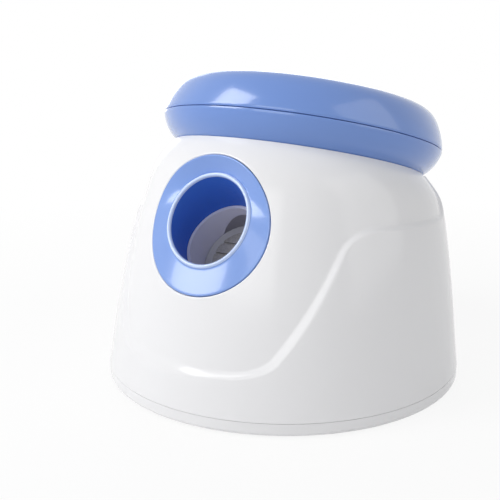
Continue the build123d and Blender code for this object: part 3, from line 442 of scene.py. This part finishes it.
# lighter blue for the bezel's band: painted light on the same plastic as the lid
band_painted_light_blue = plastic("blue_band_painted_light", (0.19, 0.325, 0.72), rough=0.2, spread=0.03, coat=0.5)
grey = plastic("grey_barrel", (0.70, 0.69, 0.76), rough=0.38, grain=0.05)
acetal = plastic("acetal", (0.74, 0.73, 0.69), rough=0.38, grain=0.05)
plunger_grey = plastic("plunger_grey", (0.46, 0.46, 0.48), rough=0.4, grain=0.06)
dark = plastic("dark_plastic", (0.012, 0.012, 0.014), rough=0.35, grain=0.05)
panel_grey = plastic("panel_grey", (0.10, 0.11, 0.135), rough=0.42, grain=0.12)
button_blue = plastic("button_blue", (0.155, 0.275, 0.625), rough=0.25)
board_green = plastic("board_green", (0.010, 0.10, 0.035), rough=0.35, grain=0.02)
cell_wrap = plastic("cell_wrap", (0.02, 0.022, 0.028), rough=0.25)
foot_rubber = rubber("foot_rubber", (0.018, 0.018, 0.02))
pad_rubber = rubber("pad_rubber", (0.26, 0.25, 0.24))
steel = metal("steel", (0.56, 0.57, 0.58), 0.28, BRUSHED)
zinc = metal("zinc", (0.63, 0.64, 0.66), 0.35, PLATED)
brass = metal("brass", (0.66, 0.48, 0.19), 0.3, BRUSHED)
lens = plastic("lens", (0.10, 0.62, 0.20), rough=0.12, coat=0.5)

finishes = {
    white: ("base_pan", "body_shell", "battery_door"),
    blue: ("lid_collar", "lid_funnel", "nozzle_bezel"),
    grey: ("launch_barrel", "drop_chute", "spring_seat"),
    acetal: ("rack_bar", "sector_gear", "output_gear", "second_gear", "first_gear", "shaft_collars"),
    plunger_grey: ("plunger_head",),
    dark: ("power_rocker", "rocker_housing", "dc_jack", "board_parts", "ball_switch"),
    panel_grey: ("control_panel", "board_posts"),
    button_blue: ("distance_button",),
    board_green: ("control_board",),
    cell_wrap: ("battery_cells",),
    foot_rubber: ("rubber_feet",),
    pad_rubber: ("plunger_pad",),
    steel: ("main_spring", "output_shaft", "gear_pins", "motor_shaft", "motor"),
    zinc: (
        "gearbox_inner_plate", "gearbox_outer_plate", "battery_contacts", "switch_lever",
        "base_screws", "lid_screws", "rack_screws", "gearbox_screws", "board_screws", "motor_screws",
    ),
    brass: ("motor_pinion", "gearbox_standoffs"),
    lens: ("led_lenses",),
}
for mat, names in finishes.items():
    for name in names:
        nodes[name].data.materials.clear()
        nodes[name].data.materials.append(mat)


def dress(obj, mat, body, *replaced, slot=None):
    """Gives a piece its material and body, and hides the CAD nodes that it stands for."""
    obj.data.materials.append(mat)
    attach(obj, body)
    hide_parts(*replaced)


# ---------------------------------------------------------------- main spring
def spring_piece():
    """The coil, its end turns closed against the plunger and the seat."""
    turns = np.linspace(0, SPRING_TURNS, SPRING_TURNS * COIL_STEPS + 1)
    ends = SPRING_WIRE / 2 + SPRING_GAP
    closed = SPRING_WIRE * CLOSED_TURNS
    free = SPRING_TOP - SPRING_SEAT - 2 * (ends + closed)
    first = np.clip(turns / CLOSED_TURNS, 0, 1)
    last = np.clip((turns - SPRING_TURNS + CLOSED_TURNS) / CLOSED_TURNS, 0, 1)
    between = np.clip((turns - CLOSED_TURNS) / (SPRING_TURNS - 2 * CLOSED_TURNS), 0, 1)
    rise = SPRING_SEAT + ends + closed * (first + last) + free * between
    ring = full_turn(WIRE_COLS)
    wire = SPRING_WIRE / 2 - WIRE_GAP
    radius = SPRING_R - SPRING_WIRE / 2 + wire * np.cos(ring)[None, :]
    height = rise[:, None] + wire * np.sin(ring)[None, :]
    pts = circle(launch_f, 2 * math.pi * turns[:, None], radius, height)
    rows, cols = len(turns), len(ring)
    faces = grid_faces(rows, cols)
    faces += [tuple(range(cols))[::-1], tuple(range((rows - 1) * cols, rows * cols))]
    coil = mesh_object("coil_spring", pts.reshape(-1, 3), faces, sharp=60)
    dress(coil, steel, "housing", "main_spring")
    seat = world(launch_f, 0, 0, SPRING_SEAT) * MM
    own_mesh(coil)


spring_piece()


# ---------------------------------------------------------------- body shell
def body_piece():
    """The shell with its relief, its wall and its two openings."""
    cols, rows = BODY_COLS, BODY_ROWS
    turn = full_turn(cols)
    u = np.linspace(0, 1, rows)[:, None]
    skin = form(u, turn[None, :], 0.0)
    outer = form(u, turn[None, :], relief(skin))
    inner = form(u, turn[None, :], -SHELL_WALL)
    # the bezel's opening: the cells inside it go, and those across its edge are drawn out to its circle
    rel = skin - MOUTH
    a, b, c = rel @ mouth_f[1], rel @ mouth_f[2] + BEZEL_DROP, rel @ mouth_f[3]
    rho, phi = np.hypot(a, b), np.arctan2(b, a)
    limit = BEZEL_R + HOLE_GAP + HOLE_EDGE
    in_hole = (rho < limit) & (np.abs(c) < HOLE_REACH) & (skin[..., 1] < 0)
    phi = phi[in_hole]
    h = height_over_mouth(np.full(phi.shape, limit), phi)
    outer[in_hole] = circle(mouth_f, phi, limit, h, -BEZEL_DROP)
    # the control panel's opening: its edge slides over the form, sideways or up, whichever is nearer
    px, pz = skin[..., 0], skin[..., 2]
    to_x, to_z = PANEL_HALF_W - np.abs(px), PANEL_HALF_H - np.abs(pz - PANEL_Z)
    in_panel = (to_x > 0) & (to_z > 0) & (skin[..., 1] > 0)
    move_x = in_panel & (to_x < to_z)
    move_z = in_panel & ~move_x
    side_x = np.sign(px) * PANEL_HALF_W
    side_z = PANEL_Z + np.sign(pz - PANEL_Z) * PANEL_HALF_H
    uu, tt = np.broadcast_to(u, px.shape).copy(), np.broadcast_to(turn, px.shape).copy()
    rounds = 8
    for _ in range(rounds):
        p = form(uu, tt, RELIEF)
        r = np.hypot(p[..., 0], p[..., 1])
        tt = np.where(move_x, tt + (p[..., 0] - side_x) / np.maximum(r * np.sin(tt), 1), tt)
        uu = np.where(move_z, uu + (side_z - p[..., 2]) / (NECK_Z - SHELL_Z), uu)
    outer[in_panel] = form(uu, tt, RELIEF)[in_panel]

    def all_of(mask):
        """The cells whose four corners are all in the mask."""
        return mask[:-1] & np.roll(mask, -1, 1)[:-1] & mask[1:] & np.roll(mask, -1, 1)[1:]

    keep = ~(all_of(in_hole) | all_of(in_panel))
    n = rows * cols
    last = n - cols
    faces = grid_faces(rows, cols, keep=keep)
    faces += grid_faces(rows, cols, keep=keep, base=n, flip=True)
    for j in range(cols):
        k = (j + 1) % cols
        faces.append((n + j, n + k, k, j))
        faces.append((last + j, last + k, n + last + k, n + last + j))
    # the rounded edge and the wall of the bezel's opening
    phi = full_turn(RING_COLS)
    strip = []
    for t in np.linspace(0, math.pi / 2, 7):
        rho = limit - HOLE_EDGE * math.sin(t)
        h = height_over_mouth(np.full(phi.shape, rho), phi) - HOLE_EDGE * (1 - math.cos(t))
        strip.append(circle(mouth_f, phi, rho, h, -BEZEL_DROP))
    rho = limit - HOLE_EDGE
    h = height_over_mouth(np.full(phi.shape, rho), phi) - HOLE_DEPTH
    strip.append(circle(mouth_f, phi, rho, h, -BEZEL_DROP))
    faces += grid_faces(len(strip), len(phi), base=2 * n, flip=True)
    pts = [outer.reshape(-1, 3), inner.reshape(-1, 3), np.array(strip).reshape(-1, 3)]
    obj = mesh_object("body_skin", np.concatenate(pts), faces, sharp=50)
    dress(obj, white, "housing", "body_shell", slot="body_white")


body_piece()


# ---------------------------------------------------------------- bezel
def bezel_piece():
    """The dished band, the bead round the mouth, and the throat and sleeve behind it."""
    cols = RING_COLS
    phi = full_turn(cols)
    edge_h = height_over_mouth(np.full(cols, BEZEL_R), phi) + BEZEL_PROUD
    rows = []

    def ring(rho, h, drop=BEZEL_DROP):
        rows.append(circle(mouth_f, phi, rho, h, -drop))

    ring(BEZEL_R, edge_h - BEZEL_FLANGE)
    for t in np.linspace(0, math.pi / 2, 5):
        ring(BEZEL_R - BEZEL_EDGE * (1 - math.cos(t)), edge_h - BEZEL_EDGE * (1 - math.sin(t)))
    # the band runs straight from the edge on the body to the foot of the bead
    foot_r = LIP_R + LIP_BEAD + BAND_FOOT
    for t in np.linspace(0.06, 1, 22):
        rho = (BEZEL_R - BEZEL_EDGE) * (1 - t) + foot_r * t
        ring(rho, edge_h * (1 - t) - BAND_SINK * t, BEZEL_DROP * (1 - t))
    lip_start = len(rows)
    for t in np.linspace(20, 180, 12):
        ring(LIP_R + LIP_BEAD * math.cos(rad(t)), LIP_H + LIP_SHAPE * LIP_BEAD * math.sin(rad(t)), 0.0)
    throat_start = len(rows) - 1
    start = circle(mouth_f, phi, LIP_R - LIP_BEAD, LIP_H)
    end = circle(launch_f, phi, SLEEVE_R, -SLEEVE_START)
    for t in np.linspace(0.12, 1, 10):
        rows.append(start * (1 - t) + end * t)
    for depth in (20.0, 28.0, SLEEVE_END):
        rows.append(circle(launch_f, phi, SLEEVE_R, -depth))
    throat_end = len(rows)
    for depth in (SLEEVE_END, 16.0):
        rows.append(circle(launch_f, phi, SLEEVE_OUTER_R, -depth))
    ring(LIP_R + 2 * LIP_BEAD, PLATE_H, 0.0)
    ring(BEZEL_R - BEZEL_WALL, edge_h - BEZEL_FLANGE)
    obj = mesh_object("bezel_ring", np.array(rows).reshape(-1, 3), ring_faces(len(rows), cols), sharp=60)
    # the band takes the lighter blue with painted light
    dress(obj, band_painted_light_blue, "housing", "nozzle_bezel", slot="bezel_blue")
    # the lip bead's faces take the pale blue with the painted highlight
    obj.data.materials.append(lip_painted_highlight_blue)
    # the throat's and sleeve's faces take the darker blue with painted shade
    obj.data.materials.append(bore_painted_shade_blue)
    for face in obj.data.polygons:
        row = face.index // cols
        if lip_start <= row < throat_end:
            face.material_index = 1 if row < throat_start else 2


bezel_piece()

# ---------------------------------------------------------------- lid
# radius and height of each corner, with the small reveals of a moulded edge
collar_profile = bow((NECK_R - 0.4, 0.3), (LID_R - 0.5, COLLAR_H - 2.5), 1.6, 14)
collar_profile += [(LID_R - 0.15, COLLAR_H - 1.0), (LID_R - 0.3, COLLAR_H - 0.25), (LID_R - 0.9, COLLAR_H)]
collar_profile += [(LID_R - LID_WALL, COLLAR_H), (NECK_R - LID_WALL, COLLAR_FLOOR)]
collar_profile += [(NECK_R - COLLAR_FLANGE, COLLAR_FLOOR), (NECK_R - COLLAR_FLANGE, 0.0), (NECK_R - 1.0, 0.0)]
skirt = lathe("lid_skirt", collar_profile, lid_f, SKIRT_COLS)
dress(skirt, blue, "housing", "lid_collar", slot="lid_blue")


def cubic(points, t):
    """The point at t of the Bezier curve over four points."""
    return sum(math.comb(3, i) * t**i * (1 - t) ** (3 - i) * np.array(p) for i, p in enumerate(points))


def funnel_piece():
    """The lid's upper shell and the bowl in it, which runs down to the chute."""
    base = COLLAR_H + GROOVE
    side = bow((LID_R - 0.25, base + 1.0), (SHOULDER_R, SHOULDER_H), 0.5, 12)
    # the rounded shoulder leaves the side along its own slope and ends level at the crest
    slope = np.array(side[-1]) - np.array(side[-2])
    leave = np.array(side[-1]) + slope / np.linalg.norm(slope) * KEEP_SLOPE
    bend = (side[-1], leave, (CREST_R + KEEP_LEVEL, RIM_H), (CREST_R, RIM_H))
    shoulder = [tuple(cubic(bend, t)) for t in np.linspace(0, 1, 20)[1:]]
    lip = fillet((BOWL_R + 2.5, RIM_H), (CREST_R, RIM_H), (BOWL_R - 5, RIM_H - 10.5), 5.0, 8)
    profile = [(LID_R - 1.4, base), (LID_R - 0.6, base + 0.2), *side, *shoulder, *map(tuple, lip)]
    cols = LID_COLS
    turn = full_turn(cols)
    rows = [circle(lid_f, turn, r, h) for r, h in profile]
    # the chute's middle line at the bowl's floor lies off the lid's axis, by low_y in the lid's frame
    chamber = MOUTH - CHAMBER_DEPTH * launch_f[3]
    chute_dir = np.array((0, math.sin(rad(CHUTE_LEAN)), math.cos(rad(CHUTE_LEAN))))
    reach = (BOWL_FLOOR - (chamber - lid_f[0]) @ lid_f[3]) / (chute_dir @ lid_f[3])
    low_y = (chamber + reach * chute_dir - lid_f[0]) @ lid_f[2]
    r_top, h_top = profile[-1]
    for t in np.linspace(0.03, 0.94, 26):
        sag = BOWL_SAG * math.sin(math.pi * t)
        h = h_top * (1 - t) + BOWL_FLOOR * t + sag
        rows.append(circle(lid_f, turn, r_top * (1 - t) + BOWL_LOW_R * t, h, low_y * t))
    for t in np.linspace(0, math.pi / 2, 6):
        h = BOWL_FLOOR - BOWL_EDGE * (1 - math.cos(t)) - 0.3
        rows.append(circle(lid_f, turn, BOWL_LOW_R - BOWL_EDGE * math.sin(t), h, low_y))
    rows.append(circle(lid_f, turn, BOWL_HOLE_R, BOWL_FLOOR - 2.4, low_y))
    rows.append(circle(lid_f, turn, BOWL_UNDER_R, BOWL_FLOOR - 2.6, low_y))
    # the shell's inside, from under the bowl back out to the foot of the side
    rows.append(circle(lid_f, turn, BOWL_R - 1, RIM_H - 8))
    rows.append(circle(lid_f, turn, CREST_R + 4, RIM_H - 4))
    rows.append(circle(lid_f, turn, LID_R - LID_WALL, base))
    obj = mesh_object("lid_bowl", np.array(rows).reshape(-1, 3), ring_faces(len(rows), cols), sharp=50)
    dress(obj, blue, "housing", "lid_funnel", slot="lid_blue")


funnel_piece()


# ---------------------------------------------------------------- stage, light and camera
def seen_or_mirrored(tree):
    """1 for what the camera sees, straight or in a gloss or a glass, and 0 for what lights the object."""
    path = tree.nodes.new("ShaderNodeLightPath")
    value = path.outputs["Is Camera Ray"]
    for other in ("Is Glossy Ray", "Is Transmission Ray"):
        node = tree.nodes.new("ShaderNodeMath")
        node.operation = "MAXIMUM"
        link(tree, value, node.inputs[0])
        link(tree, path.outputs[other], node.inputs[1])
        value = node.outputs["Value"]
    return value


def floor():
    """A pale floor that the camera sees as white, but for the object's shadow."""
    mesh = bpy.data.meshes.new("floor")
    h = FLOOR_HALF
    mesh.from_pydata([(-h, -h, 0), (h, -h, 0), (h, h, 0), (-h, h, 0)], [], [(0, 1, 2, 3)])
    obj = add("floor", mesh)
    mat, tree, shader = new_material("floor_pale")
    shader.inputs["Base Color"].default_value = (0.82, 0.82, 0.82, 1)
    shader.inputs["Roughness"].default_value = 0.6
    glow = tree.nodes.new("ShaderNodeEmission")
    glow.inputs["Color"].default_value = (1, 1, 1, 1)
    glow.inputs["Strength"].default_value = 1.0
    mix = tree.nodes.new("ShaderNodeMixShader")
    # near the object the floor keeps a share of its own shading, and with it the shadow
    place = tree.nodes.new("ShaderNodeTexCoord")
    far = tree.nodes.new("ShaderNodeVectorMath")
    far.operation = "LENGTH"
    link(tree, place.outputs["Object"], far.inputs[0])
    share = tree.nodes.new("ShaderNodeMath")
    share.operation = "MULTIPLY"
    whiter = ramp(tree, far.outputs["Value"], *FLOOR_WHITE, start=SHADE_NEAR, end=SHADE_FAR)
    link(tree, whiter, share.inputs[1])
    link(tree, seen_or_mirrored(tree), share.inputs[0])
    link(tree, share.outputs["Value"], mix.inputs["Fac"])
    link(tree, shader.outputs["BSDF"], mix.inputs[1])
    link(tree, glow.outputs["Emission"], mix.inputs[2])
    link(tree, mix.outputs["Shader"], tree.nodes["Material Output"].inputs["Surface"])
    obj.data.materials.append(mat)


floor()

sky = bpy.data.worlds.new("studio")
bpy.context.scene.world = sky
sky.use_nodes = True
tree = sky.node_tree
fill = tree.nodes["Background"]
fill.inputs["Color"].default_value = (1, 1, 1, 1)
fill.inputs["Strength"].default_value = WORLD_FILL
seen = tree.nodes.new("ShaderNodeBackground")
seen.inputs["Color"].default_value = (1, 1, 1, 1)
seen.inputs["Strength"].default_value = 1.0
mix = tree.nodes.new("ShaderNodeMixShader")
link(tree, seen_or_mirrored(tree), mix.inputs["Fac"])
link(tree, fill.outputs["Background"], mix.inputs[1])
link(tree, seen.outputs["Background"], mix.inputs[2])
link(tree, mix.outputs["Shader"], tree.nodes["World Output"].inputs["Surface"])


def lamp(name, turn, rise, distance, width, height, brightness):
    """A soft box that faces the object; turn is its bearing from -Y towards +X, in degrees."""
    data = bpy.data.lights.new(name, "AREA")
    data.shape = "RECTANGLE"
    data.size, data.size_y = width, height
    data.energy = brightness * math.pi * width * height
    obj = add(name, data)
    flat = math.cos(rad(rise))
    out = Vector((math.sin(rad(turn)) * flat, -math.cos(rad(turn)) * flat, math.sin(rad(rise))))
    obj.location = Vector(LAMPS_AIM) + out * distance
    obj.rotation_euler = (-out).to_track_quat("-Z", "Y").to_euler()


# name, bearing, height in degrees, distance, width, height and brightness
lamp("key", -37, 36, 1.3, 0.62, 0.85, 6.2)
lamp("front", 8, 22, 1.8, 1.0, 0.8, 2.0)
lamp("right", 95, 27, 1.5, 1.2, 1.3, 1.05)
lamp("rim", -140, 15, 1.6, 1.2, 1.0, 1.6)

# the camera looks ahead, with level and above across it before it rolls
ahead = Vector((-math.sin(AZIMUTH) * math.cos(PITCH), math.cos(AZIMUTH) * math.cos(PITCH), math.sin(PITCH)))
level = Vector((math.cos(AZIMUTH), math.sin(AZIMUTH), 0))
above = level.cross(ahead)
right = level * math.cos(ROLL) + above * math.sin(ROLL)
up = -level * math.sin(ROLL) + above * math.cos(ROLL)
camera = bpy.data.cameras.new("camera")
camera.lens = FOCAL / PICTURE_W * SENSOR_MM
camera.sensor_width = SENSOR_MM
camera.clip_start = 0.01
eye = add("camera", camera)
eye.matrix_world = Matrix((
    (right.x, up.x, -ahead.x, EYE[0]),
    (right.y, up.y, -ahead.y, EYE[1]),
    (right.z, up.z, -ahead.z, EYE[2]),
    (0, 0, 0, 1),
))
bpy.context.scene.camera = eye
bpy.context.scene.view_settings.view_transform = "Standard"
